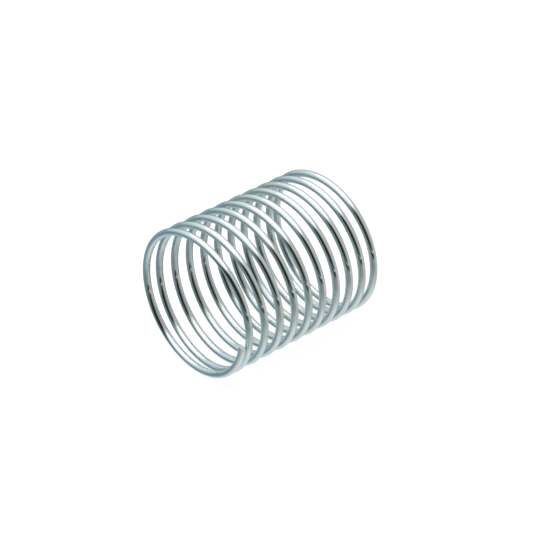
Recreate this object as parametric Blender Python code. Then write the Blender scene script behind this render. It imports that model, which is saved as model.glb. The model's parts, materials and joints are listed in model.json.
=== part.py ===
"""Spring coil toy: an open helical spring of round steel wire, lying on its side.

The spring is one length of wire. A closed end coil starts and ends it, and the open coils
between them are divided into quarter turns, so that the wire can twist where one quarter meets
the next. That twist is how a helical spring stretches and bends.

Metres, +Z up. The coil's axis is the X axis, the origin is the middle of that axis, and the
wire climbs along +X as a right-handed helix. The Y axis runs across the coil: back is +Y.
Angles round the coil are measured from +Y towards +Z.
"""

import math

import bmesh
import bpy
from mathutils import Matrix, Vector

# Driving dimensions
WIRE_DIAMETER = 0.0020
COIL_RADIUS = 0.0198  # from the coil's axis to the wire's centreline
PITCH_LEFT = 0.00534  # distance along the axis from one open coil to the next, at the left end
PITCH_RIGHT = 0.00447  # the same at the right end; the pitch changes evenly in between
START_ANGLE = -170.0  # degrees round the coil where the wire starts
TOTAL_TURNS = 10.6125
CLOSING_LEFT = 1.175  # turns of wire over which the pitch falls to nothing at the left end
CLOSING_RIGHT = 1.05  # the same at the right end
OPEN_TURNS = TOTAL_TURNS - (CLOSING_LEFT + CLOSING_RIGHT) / 2.0
END_COIL_TURNS = 1.0  # least length of the closed coil at each end
JOINT_GAP = 0.0003  # clearance between the end faces of neighbouring quarters

# Mesh fineness
QUARTER = 90.0
STEPS_PER_QUARTER = 9
SIDES = 16

STEEL_COLOUR = (0.62, 0.66, 0.68, 1.0)
STEEL_ROUGHNESS = 0.22

QUADRANT_NAMES = ("back_upper", "front_upper", "front_lower", "back_lower")


def closing_advance(turns, closing_turns):
    """Open turns that the first turns of wire next to an end are worth.

    The slope eases from nothing at the end to the full pitch as a smoothstep.
    """
    share = min(max(turns / closing_turns, 0.0), 1.0)
    eased = closing_turns * (share**3 - share**4 / 2.0)
    return eased + max(turns - closing_turns, 0.0)


def axial_position(turns):
    """X of the wire's centreline, measured from the middle of the coil."""
    if turns <= TOTAL_TURNS / 2.0:
        opened = closing_advance(turns, CLOSING_LEFT)
    else:
        opened = OPEN_TURNS - closing_advance(TOTAL_TURNS - turns, CLOSING_RIGHT)
    pitch_change = (PITCH_RIGHT - PITCH_LEFT) / OPEN_TURNS
    half_length = (PITCH_LEFT + PITCH_RIGHT) / 4.0 * OPEN_TURNS
    return PITCH_LEFT * opened + pitch_change * opened**2 / 2.0 - half_length


def centreline(angle):
    """Point on the wire's centreline at an angle, in degrees, counted on from the start."""
    turns = (angle - START_ANGLE) / 360.0
    around = math.radians(angle)
    return Vector(
        (axial_position(turns), COIL_RADIUS * math.cos(around), COIL_RADIUS * math.sin(around))
    )


def tangent(angle):
    """Unit direction of the wire at an angle, pointing the way the helix climbs."""
    small = 0.01
    end_angle = START_ANGLE + 360.0 * TOTAL_TURNS
    before = centreline(max(angle - small, START_ANGLE))
    after = centreline(min(angle + small, end_angle))
    return (after - before).normalized()


def section_matrix(angle, setback=0.0):
    """Frame of a wire section: its Z is the tangent and its X points away from the coil's axis."""
    along = tangent(angle)
    centre = centreline(angle)
    outward = Vector((0.0, centre.y, centre.z)).normalized()
    side = along.cross(outward).normalized()
    outward = side.cross(along)
    frame = Matrix((outward, side, along)).transposed().to_4x4()
    frame.translation = centre + along * setback
    return frame


def wire_material():
    material = bpy.data.materials.new("spring_steel_wire")
    material.use_nodes = True
    surface = material.node_tree.nodes["Principled BSDF"]
    surface.inputs["Base Color"].default_value = STEEL_COLOUR
    surface.inputs["Metallic"].default_value = 1.0
    surface.inputs["Roughness"].default_value = STEEL_ROUGHNESS
    return material


def wire_mesh(name, sections):
    """Closed round bar through a list of section frames, with flat end faces."""
    shape = bmesh.new()
    rings = []
    for frame in sections:
        ring = bmesh.ops.create_circle(
            shape, segments=SIDES, radius=WIRE_DIAMETER / 2.0, matrix=frame
        )
        rings.append(ring["verts"])
    for ring, following in zip(rings, rings[1:]):
        for corner in range(SIDES):
            beside = (corner + 1) % SIDES
            shape.faces.new((ring[corner], ring[beside], following[beside], following[corner]))
    shape.faces.new(rings[0])
    shape.faces.new(rings[-1])
    bmesh.ops.recalc_face_normals(shape, faces=shape.faces)
    mesh = bpy.data.meshes.new(name)
    shape.to_mesh(mesh)
    shape.free()
    mesh.shade_smooth()
    mesh.set_sharp_from_angle(angle=math.radians(60.0))
    return mesh


def wire_piece(name, start, end, gap_before, gap_after, parent):
    """One stretch of the wire from angle start to angle end, with its origin at its start."""
    steps = max(1, round((end - start) / QUARTER * STEPS_PER_QUARTER))
    angles = [start + (end - start) * step / steps for step in range(steps + 1)]
    sections = [section_matrix(angle) for angle in angles]
    sections[0] = section_matrix(start, gap_before)
    sections[-1] = section_matrix(end, -gap_after)
    origin = centreline(start)
    to_local = Matrix.Translation(-origin)
    piece = bpy.data.objects.new(name, wire_mesh(name, [to_local @ frame for frame in sections]))
    piece.data.materials.append(wire_material())
    bpy.context.scene.collection.objects.link(piece)
    piece.parent = parent
    piece.location = origin - parent.matrix_world.translation
    bpy.context.view_layer.update()
    return piece


def first_open_angle():
    """First quarter-turn boundary, at the bottom of the coil, past the closed end coil."""
    least = START_ANGLE + 360.0 * END_COIL_TURNS
    return -QUARTER + 360.0 * math.ceil((least + QUARTER) / 360.0)


def last_open_angle():
    """Last quarter-turn boundary before the closed end coil at the far end."""
    most = START_ANGLE + 360.0 * (TOTAL_TURNS - END_COIL_TURNS)
    return QUARTER * math.floor(most / QUARTER)


def build_spring():
    end_angle = START_ANGLE + 360.0 * TOTAL_TURNS
    first, last = first_open_angle(), last_open_angle()
    spring = bpy.data.objects.new("spring", None)
    bpy.context.scene.collection.objects.link(spring)
    half_gap = JOINT_GAP / 2.0

    piece = wire_piece("closed_end_coil_left", START_ANGLE, first, 0.0, half_gap, spring)
    quarters = round((last - first) / QUARTER)
    for index in range(quarters):
        start = first + index * QUARTER
        quadrant = QUADRANT_NAMES[round(start / QUARTER) % 4]
        coil = 1 + math.floor((start - first) / 360.0)
        name = f"coil_{coil}_{quadrant}"
        piece = wire_piece(name, start, start + QUARTER, half_gap, half_gap, piece)
    wire_piece("closed_end_coil_right", last, end_angle, half_gap, 0.0, piece)


def clear_scene():
    for thing in list(bpy.data.objects):
        bpy.data.objects.remove(thing, do_unlink=True)


clear_scene()
build_spring()
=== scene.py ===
"""Looks of the spring coil toy: bright zinc-plated spring wire, lit softly on a white table.

Every stretch of wire is built as a fine tube on the CAD's own helix and rides on the CAD body that it
covers. Neighbouring stretches meet exactly on the hinge between them, so the wire looks unbroken.
"""

import json
import math
from typing import NamedTuple

import bpy
import numpy as np
from mathutils import Matrix, Vector

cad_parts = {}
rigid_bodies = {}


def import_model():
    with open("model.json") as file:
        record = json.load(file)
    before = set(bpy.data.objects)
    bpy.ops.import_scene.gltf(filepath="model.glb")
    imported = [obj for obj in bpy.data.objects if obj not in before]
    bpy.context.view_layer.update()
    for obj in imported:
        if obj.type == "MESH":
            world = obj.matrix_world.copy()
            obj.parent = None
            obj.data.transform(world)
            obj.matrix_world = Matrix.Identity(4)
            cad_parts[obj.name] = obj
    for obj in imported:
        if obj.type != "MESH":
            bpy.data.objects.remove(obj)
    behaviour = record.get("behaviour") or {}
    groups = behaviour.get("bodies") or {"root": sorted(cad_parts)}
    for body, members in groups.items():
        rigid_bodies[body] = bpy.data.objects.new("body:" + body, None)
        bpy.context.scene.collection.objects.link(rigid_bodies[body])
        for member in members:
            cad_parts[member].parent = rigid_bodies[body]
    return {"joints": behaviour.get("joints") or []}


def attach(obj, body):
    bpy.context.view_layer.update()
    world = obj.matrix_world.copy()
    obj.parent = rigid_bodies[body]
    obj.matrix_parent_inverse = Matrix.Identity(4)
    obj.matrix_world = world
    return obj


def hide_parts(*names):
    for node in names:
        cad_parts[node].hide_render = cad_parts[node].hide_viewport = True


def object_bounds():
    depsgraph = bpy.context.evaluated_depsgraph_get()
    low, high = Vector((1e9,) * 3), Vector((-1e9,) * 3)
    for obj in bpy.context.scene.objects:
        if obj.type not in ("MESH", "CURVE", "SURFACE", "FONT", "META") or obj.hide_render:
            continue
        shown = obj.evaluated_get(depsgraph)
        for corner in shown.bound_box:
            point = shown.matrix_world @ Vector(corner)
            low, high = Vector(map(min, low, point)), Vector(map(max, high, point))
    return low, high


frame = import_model()
cad_low, cad_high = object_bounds()

# The wire's path, in metres and degrees, as the CAD lays it
WIRE_RADIUS = 0.0010
COIL_RADIUS = (cad_high.z - cad_low.z) / 2.0 - WIRE_RADIUS
PITCH_LEFT = 0.00534
PITCH_RIGHT = 0.00447
START_ANGLE = -170.0
TOTAL_TURNS = 10.6125
END_ANGLE = START_ANGLE + 360.0 * TOTAL_TURNS
CLOSING_LEFT = 1.175
CLOSING_RIGHT = 1.05
OPEN_TURNS = TOTAL_TURNS - (CLOSING_LEFT + CLOSING_RIGHT) / 2.0
FIRST_JUNCTION = 270.0
QUARTER = 90.0
WIRE_PER_DEGREE = math.radians(1.0) * math.hypot(COIL_RADIUS, PITCH_LEFT / (2.0 * math.pi))

# Mesh fineness
SIDES = 32
DEGREES_PER_RING = 2.0

# Cut ends of the wire
EDGE_ROUNDING = 0.00012
ROUNDING_RINGS = 4
FACE_RINGS = 8
FACE_RIM = WIRE_RADIUS - EDGE_ROUNDING
SHEAR_STEP = 0.00008  # how much deeper the face lies where the wire broke off than where it was cut
SHEAR_STEP_EDGE = (-0.2, 0.3)  # start and end of that step across the face, in shares of its rim
RIM_SHARPNESS = 6  # power with which the step fades towards the rim
CUT_SLOPE = 0.9  # rise of the cut along the wire, per distance across it
SLOPE_FADE = 8.0  # degrees along the coil over which the rings turn square to the wire again
CUT_LONG_SIDE = math.radians(131.0)  # round the section, from outward towards the section's side

# Camera, at the angle that the object is shown from
VIEW_AZIMUTH = -41.04
VIEW_ELEVATION = 33.75
VIEW_ROLL = -0.42
VIEW_DISTANCE = 25.28 * COIL_RADIUS
LENS = 127.2
LENS_SHIFT = (0.0109, 0.0081)

# Zinc-plated wire. Grain sizes are across and along the wire, and heights are those of its relief.
LINE_SIZE = (0.00020, 0.014)
CLOUD_SIZE = (0.0016, 0.0045)
GRAIN_SIZE = (0.00012, 0.00012)
FLUTE_SIZE = (0.0006, 0.030)
WAVE_SIZE = (0.006, 0.008)
ZINC_COOL = (0.69, 0.76, 0.79, 1.0)
ZINC_WARM = (0.76, 0.78, 0.75, 1.0)
LINE_COLOUR = (0.48, 0.52, 0.53, 1.0)
LINE_DARKNESS = 0.35
CLOUD_EDGE = (0.35, 0.65)
WORN_EDGE = (0.62, 0.36)
LEAST_ROUGHNESS = 0.035
LINE_ROUGHNESS = 0.05
CLOUD_ROUGHNESS = 0.04
LINE_HEIGHT = 0.0000010
FLUTE_HEIGHT = 0.000010
WAVE_HEIGHT = 0.000022
GRAIN_HEIGHT = 0.0000001

# Sheared faces of the cut ends, with fine marks across them
CUT_MARKS_PER_METRE = (3000.0, 20000.0, 0.0)
CUT_DARK = (0.84, 0.88, 0.89, 1.0)
CUT_LIGHT = (0.96, 0.98, 0.98, 1.0)
CUT_HEIGHT = 0.0000100
CUT_ROUGHNESS = 0.3
CUT_ROUGHNESS_EASE = (0.0, 2.0)
CUT_METALLIC = 0.3

# Studio radiances
SOFTBOX = (2.0, 2.0, 2.0, 1.0)
COOL_WALL = (0.50, 0.65, 0.70, 1.0)
WARM_WALL = (0.54, 0.60, 0.56, 1.0)
COOL_UPPER_WALL = (1.08, 1.15, 1.15, 1.0)
WARM_UPPER_WALL = (0.62, 0.66, 0.64, 1.0)
DARK_ROOM_LEFT = (0.012, 0.024, 0.025, 1.0)
DARK_ROOM_RIGHT = (0.030, 0.025, 0.018, 1.0)
# The table's radiances are painted light. The table glows with them in the wire's reflections as its
# light and shade, a painted reflection of the room in it and a painted highlight along its rim.
COOL_TABLE = (0.34, 0.47, 0.53, 1.0)
WARM_TABLE = (0.64, 0.68, 0.65, 1.0)
COOL_TABLE_FOOT = (0.62, 0.76, 0.81, 1.0)
WARM_TABLE_FOOT = (1.02, 0.98, 0.95, 1.0)
MIRRORED_ROOM = (0.035, 0.055, 0.045, 1.0)
MIRRORED_WALL_LEFT = (0.19, 0.29, 0.31, 1.0)
MIRRORED_WALL_RIGHT = (0.35, 0.37, 0.335, 1.0)
TABLE_RIM_HIGHLIGHT = (0.85, 0.85, 0.81, 1.0)
BLUE_SHADE = (0.22, 0.32, 0.36, 1.0)
FAR_SHADE = (0.13, 0.13, 0.12, 1.0)

# Studio layout by direction, in degrees: azimuths run from +X towards +Y, and a pole stands over the
# circle that is 90 degrees from it. An edge, a fade, a start or an end holds the two angles above that
# circle between which the look changes. It is taken in reverse where a share falls with the angle.
WARM_POLE = (308.0, 0.0)
WARM_EDGE = (-70.0, 70.0)
WALL_FADE = (0.0, 44.0)
SOFTBOX_POLE = (102.0, 82.0)
SOFTBOX_EDGE = (47.0, 60.0)
ROOM_TOP_POLE = (74.5, 43.1)
ROOM_TOP_EDGE = (-3.0, 14.0)
ROOM_SIDE_POLE = (180.0, -18.4)
ROOM_SIDE_EDGE = (-28.0, 24.0)
ROOM_TINT_EDGE = (35.0, 62.0)
TABLE_EDGE_POLE = (215.0, 83.5)
TABLE_EDGE = (-0.6, 0.6)
TABLE_FOOT_FADE = (-46.0, -68.0)
TABLE_RIM_END = (-1.8, -2.6)
MIRROR_START = (-2.0, -2.6)
MIRROR_END = (-8.0, -14.0)
MIRROR_SIDE_EDGE = (-26.0, 18.0)
MIRRORED_WALL_END = (-22.0, -42.0)

# Painted shade patches on the table as the wire mirrors it: the middle, and the angles from it where a
# patch ends and where it is full
BLUE_CENTRE = (126.0, -24.0)
BLUE_SPREAD = (28.0, 6.0)
FAR_CENTRE = (42.0, -14.0)
FAR_SPREAD = (28.0, 14.0)

# White table and backdrop
TABLE_HALF_SIDE = 3.0
TABLE_WHITE = (0.92, 0.92, 0.92, 1.0)
TABLE_ROUGHNESS = 0.5
TABLE_GLOW = (1.1, 1.1, 1.1, 1.0)
TABLE_GLOW_SHARE = 0.8
BACKDROP = (1.5, 1.5, 1.5, 1.0)


def closing_advance(turns, closing_turns):
    """Open turns that the first turns of wire next to an end are worth."""
    share = np.clip(turns / closing_turns, 0.0, 1.0)
    return closing_turns * (share**3 - share**4 / 2.0) + np.maximum(turns - closing_turns, 0.0)


def centreline(angles):
    """Points on the wire's centreline at angles, in degrees, counted on from the start."""
    turns = (angles - START_ANGLE) / 360.0
    opened = np.where(
        turns <= TOTAL_TURNS / 2.0,
        closing_advance(turns, CLOSING_LEFT),
        OPEN_TURNS - closing_advance(TOTAL_TURNS - turns, CLOSING_RIGHT),
    )
    pitch_change = (PITCH_RIGHT - PITCH_LEFT) / OPEN_TURNS
    half_length = (PITCH_LEFT + PITCH_RIGHT) / 4.0 * OPEN_TURNS
    x = PITCH_LEFT * opened + pitch_change * opened**2 / 2.0 - half_length
    around = np.radians(angles)
    return np.stack([x, COIL_RADIUS * np.cos(around), COIL_RADIUS * np.sin(around)], axis=-1)


def section_frames(angles):
    """Centres of wire sections, with unit vectors outward, to the side and along the wire."""
    small = 0.01
    ahead = centreline(np.minimum(angles + small, END_ANGLE))
    behind = centreline(np.maximum(angles - small, START_ANGLE))
    along = ahead - behind
    along /= np.linalg.norm(along, axis=1, keepdims=True)
    centres = centreline(angles)
    radial = centres * np.array([0.0, 1.0, 1.0])
    radial /= np.linalg.norm(radial, axis=1, keepdims=True)
    side = np.cross(along, radial)
    side /= np.linalg.norm(side, axis=1, keepdims=True)
    outward = np.cross(side, along)
    return centres, outward, side, along


def wire_chain():
    """Body names in order from the left end coil to the right one, following the joints."""
    follower = {joint["parent"]: joint["child"] for joint in frame["joints"]}
    name = (set(follower) - set(follower.values())).pop()
    chain = [name]
    while name in follower:
        name = follower[name]
        chain.append(name)
    return chain


class Ring(NamedTuple):
    """A ring of a tube. Its slope is that of the cut, along the wire per distance across it."""

    angle: float  # along the coil, in degrees
    radius: float
    shift: float  # along the wire
    lean: float  # of its normals from square outward towards the cut face's normal, in radians
    slope: float


def cut_slope(angle):
    """How steeply a ring leans along the wire: as the cut at an end, and fading to none beside it."""
    at_start = 1.0 - (angle - START_ANGLE) / SLOPE_FADE
    at_end = 1.0 - (END_ANGLE - angle) / SLOPE_FADE
    return CUT_SLOPE * (max(at_end, 0.0) - max(at_start, 0.0))


def cut_end_rings(angle, inward):
    """Rings of a cut end, from the wire's side over its rounded edge to the middle of its face."""
    slope = cut_slope(angle)
    rings = []
    for step in range(ROUNDING_RINGS + 1):
        turn = math.pi / 2.0 * step / ROUNDING_RINGS
        radius = WIRE_RADIUS - EDGE_ROUNDING * (1.0 - math.cos(turn))
        setback = EDGE_ROUNDING * (1.0 - math.sin(turn))
        rings.append(Ring(angle, radius, inward * setback, -inward * turn, slope))
    for step in range(1, FACE_RINGS):
        radius = FACE_RIM * (1.0 - step / FACE_RINGS)
        rings.append(Ring(angle, radius, 0.0, -inward * math.pi / 2.0, slope))
    return rings


def shear_depth(radii, across):
    """How deep the cut face lies on the side where the shears broke the wire off."""
    start, end = SHEAR_STEP_EDGE
    broken = np.clip((across / FACE_RIM - start) / (end - start), 0.0, 1.0)
    inside = 1.0 - np.clip(radii / FACE_RIM, 0.0, 1.0) ** RIM_SHARPNESS
    return SHEAR_STEP * inside * broken**2 * (3.0 - 2.0 * broken)


def tube_faces(ring_count):
    """Four-sided faces between the rings, then the caps of the first ring and of the last."""
    faces = []
    for ring in range(ring_count - 1):
        low, high = ring * SIDES, (ring + 1) * SIDES
        for corner in range(SIDES):
            beside = (corner + 1) % SIDES
            faces.append((low + corner, low + beside, high + beside, high + corner))
    faces.append(tuple(reversed(range(SIDES))))
    faces.append(tuple((ring_count - 1) * SIDES + corner for corner in range(SIDES)))
    return faces


def set_normals(mesh, normals, first_cap, last_cap):
    """Exact normals at the corners of every face; a zero one leaves the corner to Blender."""
    corner_vertices = np.zeros(len(mesh.loops), dtype=np.int32)
    mesh.loops.foreach_get("vertex_index", corner_vertices)
    corner_normals = normals.reshape(-1, 3)[corner_vertices]
    corner_normals[-2 * SIDES : -SIDES] = first_cap
    corner_normals[-SIDES:] = last_cap
    mesh.normals_split_custom_set(corner_normals.tolist())


def tube_mesh(name, rings):
    """A closed tube through rings, with exact normals and the straight wire's coordinates."""
    angles, radii, shifts, leans, slopes = np.array(rings).T
    centres, outward, side, along = section_frames(angles)
    turn = 2.0 * np.pi * np.arange(SIDES) / SIDES
    cosine, sine = np.cos(turn)[None, :, None], np.sin(turn)[None, :, None]
    radial = cosine * outward[:, None, :] + sine * side[:, None, :]
    across = radii[:, None] * np.cos(turn)
    on_face = np.isclose(np.abs(leans), math.pi / 2.0)
    depth = shear_depth(radii[:, None], across) * on_face[:, None] * -np.sign(leans)[:, None]
    towards_long_side = radii[:, None] * np.cos(turn - CUT_LONG_SIDE)
    lengthwise = shifts[:, None] + depth + slopes[:, None] * towards_long_side
    points = centres[:, None, :] + radii[:, None, None] * radial
    points = points + lengthwise[:, :, None] * along[:, None, :]
    mesh = bpy.data.meshes.new(name)
    mesh.from_pydata(points.reshape(-1, 3).tolist(), [], tube_faces(len(rings)))
    mesh.shade_smooth()

    cut = np.repeat(on_face[:-1] & on_face[1:], SIDES)
    cut = np.concatenate([cut, [on_face[0], on_face[-1]]]).astype(np.int32)
    mesh.polygons.foreach_set("material_index", cut)

    long_side = math.cos(CUT_LONG_SIDE) * outward + math.sin(CUT_LONG_SIDE) * side
    facing = along - slopes[:, None] * long_side
    facing /= np.linalg.norm(facing, axis=1, keepdims=True)
    normals = np.cos(leans)[:, None, None] * radial + np.sin(leans)[:, None, None] * facing[:, None, :]
    normals /= np.linalg.norm(normals, axis=2, keepdims=True)
    normals[on_face] = 0.0
    facing[on_face] = 0.0
    set_normals(mesh, normals, -facing[0], facing[-1])

    along_wire = (angles * WIRE_PER_DEGREE)[:, None] + lengthwise
    straight = np.stack([across, radii[:, None] * np.sin(turn), along_wire], axis=-1)
    attribute = mesh.attributes.new("straight_wire", "FLOAT_VECTOR", "POINT")
    attribute.data.foreach_set("vector", straight.astype(np.float32).ravel())
    return mesh


def build_piece(name, start, end, materials):
    """The stretch of wire between two angles, with a cut end where the wire itself ends."""
    steps = max(1, round((end - start) / DEGREES_PER_RING))
    angles = np.linspace(start, end, steps + 1)
    rings = [Ring(angle, WIRE_RADIUS, 0.0, 0.0, cut_slope(angle)) for angle in angles]
    if start == START_ANGLE:
        rings = cut_end_rings(start, 1.0)[::-1] + rings[1:]
    if end == END_ANGLE:
        rings = rings[:-1] + cut_end_rings(end, -1.0)
    mesh = tube_mesh(name, rings)
    for material in materials:
        mesh.materials.append(material)
    piece = bpy.data.objects.new(name, mesh)
    bpy.context.scene.collection.objects.link(piece)
    return piece


def build_wire():
    materials = (wire_material(), cut_material())
    chain = wire_chain()
    junctions = [FIRST_JUNCTION + QUARTER * index for index in range(len(chain) - 1)]
    stops = [START_ANGLE] + junctions + [END_ANGLE]
    for body, start, end in zip(chain, stops, stops[1:]):
        piece = build_piece(f"wire_{body}", start, end, materials)
        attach(piece, body)
        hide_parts(body)


class Graph:
    """Adds shader nodes to a tree in one line each."""

    def __init__(self, tree):
        self.tree = tree

    def add(self, kind, inputs=None, **settings):
        node = self.tree.nodes.new(kind)
        for name, value in settings.items():
            setattr(node, name, value)
        for socket, value in (inputs or {}).items():
            self.feed(node.inputs[socket], value)
        return node

    def feed(self, socket, value):
        if isinstance(value, bpy.types.NodeSocket):
            self.tree.links.new(value, socket)
        else:
            socket.default_value = value

    def maths(self, operation, first, second=0.0):
        node = self.add("ShaderNodeMath", {0: first, 1: second}, operation=operation)
        return node.outputs[0]

    def scale_and_add(self, value, factor, base):
        """The value times a factor, added to a base."""
        inputs = {0: value, 1: factor, 2: base}
        return self.add("ShaderNodeMath", inputs, operation="MULTIPLY_ADD").outputs[0]

    def vectors(self, operation, first, second, output=0):
        node = self.add("ShaderNodeVectorMath", {0: first, 1: second}, operation=operation)
        return node.outputs[output]

    def ease(self, value, start, end):
        """0 before start, 1 past end, and a smoothstep in between; start may be past end."""
        inputs = {"Value": value, "From Min": start, "From Max": end}
        node = self.add("ShaderNodeMapRange", inputs, interpolation_type="SMOOTHSTEP")
        return node.outputs["Result"]

    def product(self, *factors):
        result = factors[0]
        for factor in factors[1:]:
            result = self.maths("MULTIPLY", result, factor)
        return result

    def blend(self, share, first, second):
        inputs = {"Factor": share, "A": first, "B": second}
        node = self.add("ShaderNodeMix", inputs, data_type="RGBA")
        return node.outputs["Result"]


def new_material(name):
    """A node material, with a graph that adds to it and its Principled surface."""
    material = bpy.data.materials.new(name)
    material.use_nodes = True
    return material, Graph(material.node_tree), material.node_tree.nodes["Principled BSDF"]


def wire_noise(graph, size, detail):
    """Noise on the straight wire, with grains of a size across and along the wire."""
    across, along = size
    straight = graph.add("ShaderNodeAttribute", attribute_name="straight_wire").outputs["Vector"]
    scaled = graph.vectors("MULTIPLY", straight, (1.0 / across, 1.0 / across, 1.0 / along))
    inputs = {"Vector": scaled, "Scale": 1.0, "Detail": detail}
    return graph.add("ShaderNodeTexNoise", inputs).outputs["Fac"]


def wire_material():
    """Drawn steel wire under bright zinc: lengthwise drawing lines and flutes, cloudy plating, fine
    grain, and the slow waves of a wire that isn't perfectly round."""
    material, graph, surface = new_material("zinc_plated_wire")
    lines = wire_noise(graph, LINE_SIZE, detail=1.0)
    clouds = wire_noise(graph, CLOUD_SIZE, detail=4.0)
    relief = (
        (lines, LINE_HEIGHT),
        (wire_noise(graph, FLUTE_SIZE, detail=1.0), FLUTE_HEIGHT),
        (wire_noise(graph, WAVE_SIZE, detail=1.0), WAVE_HEIGHT),
        (wire_noise(graph, GRAIN_SIZE, detail=2.0), GRAIN_HEIGHT),
    )

    colour = graph.blend(graph.ease(clouds, *CLOUD_EDGE), ZINC_COOL, ZINC_WARM)
    worn = graph.product(graph.ease(lines, *WORN_EDGE), LINE_DARKNESS)
    colour = graph.blend(worn, colour, LINE_COLOUR)
    rough = graph.scale_and_add(lines, LINE_ROUGHNESS, LEAST_ROUGHNESS)
    rough = graph.scale_and_add(clouds, CLOUD_ROUGHNESS, rough)
    height = 0.0
    for noise, share in relief:
        height = graph.scale_and_add(noise, share, height)
    bump = graph.add("ShaderNodeBump", {"Height": height, "Distance": 1.0, "Strength": 1.0})
    graph.feed(surface.inputs["Base Color"], colour)
    graph.feed(surface.inputs["Roughness"], rough)
    graph.feed(surface.inputs["Normal"], bump.outputs["Normal"])
    surface.inputs["Metallic"].default_value = 1.0
    return material


def cut_material():
    """Fresh cut of the wire's ends: pale and mostly matt, with the marks that the shears drew."""
    material, graph, surface = new_material("cut_steel")
    straight = graph.add("ShaderNodeAttribute", attribute_name="straight_wire").outputs["Vector"]
    scaled = graph.vectors("MULTIPLY", straight, CUT_MARKS_PER_METRE)
    marks = graph.add("ShaderNodeTexNoise", {"Vector": scaled, "Scale": 1.0, "Detail": 3.0})
    marks = marks.outputs["Fac"]
    rough = graph.maths("ADD", graph.ease(marks, *CUT_ROUGHNESS_EASE), CUT_ROUGHNESS)
    height = graph.product(marks, CUT_HEIGHT)
    bump = graph.add("ShaderNodeBump", {"Height": height, "Distance": 1.0, "Strength": 1.0})
    graph.feed(surface.inputs["Base Color"], graph.blend(marks, CUT_DARK, CUT_LIGHT))
    graph.feed(surface.inputs["Roughness"], rough)
    graph.feed(surface.inputs["Normal"], bump.outputs["Normal"])
    surface.inputs["Metallic"].default_value = CUT_METALLIC
    return material


def unit_vector(azimuth, elevation):
    turned, raised = math.radians(azimuth), math.radians(elevation)
    level = math.cos(raised)
    return (level * math.cos(turned), level * math.sin(turned), math.sin(raised))


class Surroundings:
    """The studio by direction: an overhead softbox, pale walls, a dark room behind the camera, and
    a glossy table whose edge shows as a thin bright line above the room that it mirrors."""

    def __init__(self, graph, direction):
        self.graph = graph
        self.direction = graph.vectors("NORMALIZE", direction, (0.0, 0.0, 0.0))
        self.height = self.above(0.0, 90.0)
        self.warmth = self.share(WARM_POLE, WARM_EDGE)
        self.below_room_top = self.share(ROOM_TOP_POLE, ROOM_TOP_EDGE[::-1])
        self.room_tint = self.share(ROOM_SIDE_POLE, ROOM_TINT_EDGE[::-1])

    def above(self, azimuth, elevation):
        """Degrees by which the direction is above the circle that is 90 degrees from a pole."""
        pole = unit_vector(azimuth, elevation)
        rise = self.graph.vectors("DOT_PRODUCT", self.direction, pole, "Value")
        return self.graph.maths("DEGREES", self.graph.maths("ARCSINE", rise))

    def share(self, pole, edge):
        """0 to 1 across an edge round a pole."""
        return self.graph.ease(self.above(*pole), *edge)

    def patch(self, centre, spread):
        """1 within the smaller of two angles from a centre, and 0 past the larger."""
        outer, inner = spread
        return self.share(centre, (90.0 - outer, 90.0 - inner))

    def sky(self):
        blend = self.graph.blend
        wall = blend(self.warmth, COOL_WALL, WARM_WALL)
        upper_wall = blend(self.warmth, COOL_UPPER_WALL, WARM_UPPER_WALL)
        wall = blend(self.graph.ease(self.height, *WALL_FADE), wall, upper_wall)
        sky = blend(self.share(SOFTBOX_POLE, SOFTBOX_EDGE), wall, SOFTBOX)
        room = blend(self.room_tint, DARK_ROOM_LEFT, DARK_ROOM_RIGHT)
        beside = self.share(ROOM_SIDE_POLE, ROOM_SIDE_EDGE)
        return blend(self.graph.product(self.below_room_top, beside), sky, room)

    def table(self, drop):
        """The table as the wire mirrors it, all painted: its light and shade, painted shade patches, a
        painted reflection of the room and a painted highlight along its rim; drop is measured from its
        edge.
        """
        blend, ease, product = self.graph.blend, self.graph.ease, self.graph.product
        table = blend(self.warmth, COOL_TABLE, WARM_TABLE)
        foot = blend(self.warmth, COOL_TABLE_FOOT, WARM_TABLE_FOOT)
        table = blend(ease(self.height, *TABLE_FOOT_FADE), table, foot)

        mirror = product(self.share(ROOM_SIDE_POLE, MIRROR_SIDE_EDGE), self.below_room_top)
        wall_share = product(ease(drop, *MIRRORED_WALL_END[::-1]), mirror)
        mirrored_wall = blend(self.room_tint, MIRRORED_WALL_LEFT, MIRRORED_WALL_RIGHT)
        table = blend(wall_share, table, mirrored_wall)
        room_share = product(ease(drop, *MIRROR_START), ease(drop, *MIRROR_END[::-1]))
        table = blend(product(room_share, mirror), table, MIRRORED_ROOM)

        # Painted shade patches on the mirrored table.
        table = blend(self.patch(BLUE_CENTRE, BLUE_SPREAD), table, BLUE_SHADE)
        table = blend(self.patch(FAR_CENTRE, FAR_SPREAD), table, FAR_SHADE)
        # Painted highlight along the table's rim.
        rim = blend(self.warmth, mirrored_wall, TABLE_RIM_HIGHLIGHT)
        return blend(ease(drop, *TABLE_RIM_END[::-1]), table, rim)

    def colour(self):
        drop = self.above(*TABLE_EDGE_POLE)
        return self.graph.blend(self.graph.ease(drop, *TABLE_EDGE), self.table(drop), self.sky())


def surroundings_group():
    """Node group that gives the studio's radiance in a direction."""
    tree = bpy.data.node_groups.new("surroundings", "ShaderNodeTree")
    tree.interface.new_socket("Direction", in_out="INPUT", socket_type="NodeSocketVector")
    tree.interface.new_socket("Color", in_out="OUTPUT", socket_type="NodeSocketColor")
    graph = Graph(tree)
    direction = graph.add("NodeGroupInput").outputs["Direction"]
    graph.add("NodeGroupOutput", {"Color": Surroundings(graph, direction).colour()})
    return tree


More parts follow.
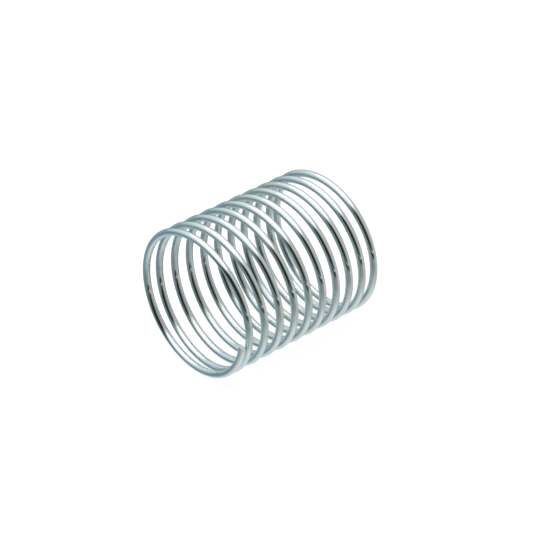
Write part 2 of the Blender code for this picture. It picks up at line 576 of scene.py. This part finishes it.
def build_table(surroundings):
    """White table. In the wire's reflections it glows with the surroundings' lower half, a painted
    picture of the table's light and shade and of the room it mirrors, not lit by the lamps.
    """
    mesh = bpy.data.meshes.new("table_top")
    z = cad_low.z
    half = TABLE_HALF_SIDE
    corners = [(-half, -half, z), (half, -half, z), (half, half, z), (-half, half, z)]
    mesh.from_pydata(corners, [], [(0, 1, 2, 3)])
    material, graph, surface = new_material("white_table")
    surface.inputs["Base Color"].default_value = TABLE_WHITE
    surface.inputs["Roughness"].default_value = TABLE_ROUGHNESS
    glow = graph.add("ShaderNodeEmission", {"Color": TABLE_GLOW})
    inputs = {0: TABLE_GLOW_SHARE, 1: surface.outputs[0], 2: glow.outputs[0]}
    pale = graph.add("ShaderNodeMixShader", inputs)
    incoming = graph.add("ShaderNodeNewGeometry").outputs["Incoming"]
    away = graph.vectors("MULTIPLY", incoming, (-1.0, -1.0, -1.0))
    lower = graph.add("ShaderNodeGroup", node_tree=surroundings)
    graph.feed(lower.inputs["Direction"], away)
    # Painted reflection: glossy rays see the table glow with the surroundings' colour for their
    # direction, in place of its lit surface.
    painted_reflection_glow = graph.add("ShaderNodeEmission", {"Color": lower.outputs["Color"]})
    path = graph.add("ShaderNodeLightPath").outputs["Is Glossy Ray"]
    inputs = {0: path, 1: pale.outputs[0], 2: painted_reflection_glow.outputs[0]}
    mixed = graph.add("ShaderNodeMixShader", inputs)
    graph.feed(material.node_tree.nodes["Material Output"].inputs["Surface"], mixed.outputs[0])
    mesh.materials.append(material)
    table = bpy.data.objects.new("table_top", mesh)
    bpy.context.scene.collection.objects.link(table)


def build_world(surroundings):
    """The surroundings light and reflect; the camera sees a plain white backdrop."""
    world = bpy.data.worlds.new("studio")
    bpy.context.scene.world = world
    world.use_nodes = True
    graph = Graph(world.node_tree)
    direction = graph.add("ShaderNodeTexCoord").outputs["Generated"]
    around = graph.add("ShaderNodeGroup", node_tree=surroundings)
    graph.feed(around.inputs["Direction"], direction)
    is_camera = graph.add("ShaderNodeLightPath").outputs["Is Camera Ray"]
    colour = graph.blend(is_camera, around.outputs["Color"], BACKDROP)
    graph.feed(world.node_tree.nodes["Background"].inputs["Color"], colour)


def place_camera():
    centre = (cad_low + cad_high) / 2.0
    back = Vector(unit_vector(VIEW_AZIMUTH - 90.0, VIEW_ELEVATION))
    data = bpy.data.cameras.new("camera")
    data.lens = LENS
    data.shift_x, data.shift_y = LENS_SHIFT
    data.clip_start = 0.01
    camera = bpy.data.objects.new("camera", data)
    turn = (-back).to_track_quat("-Z", "Y").to_matrix().to_4x4()
    roll = Matrix.Rotation(math.radians(VIEW_ROLL), 4, "Z")
    camera.matrix_world = Matrix.Translation(centre + back * VIEW_DISTANCE) @ turn @ roll
    bpy.context.scene.collection.objects.link(camera)
    bpy.context.scene.camera = camera


build_wire()
studio = surroundings_group()
build_table(studio)
build_world(studio)
place_camera()
bpy.context.scene.view_settings.view_transform = "Standard"
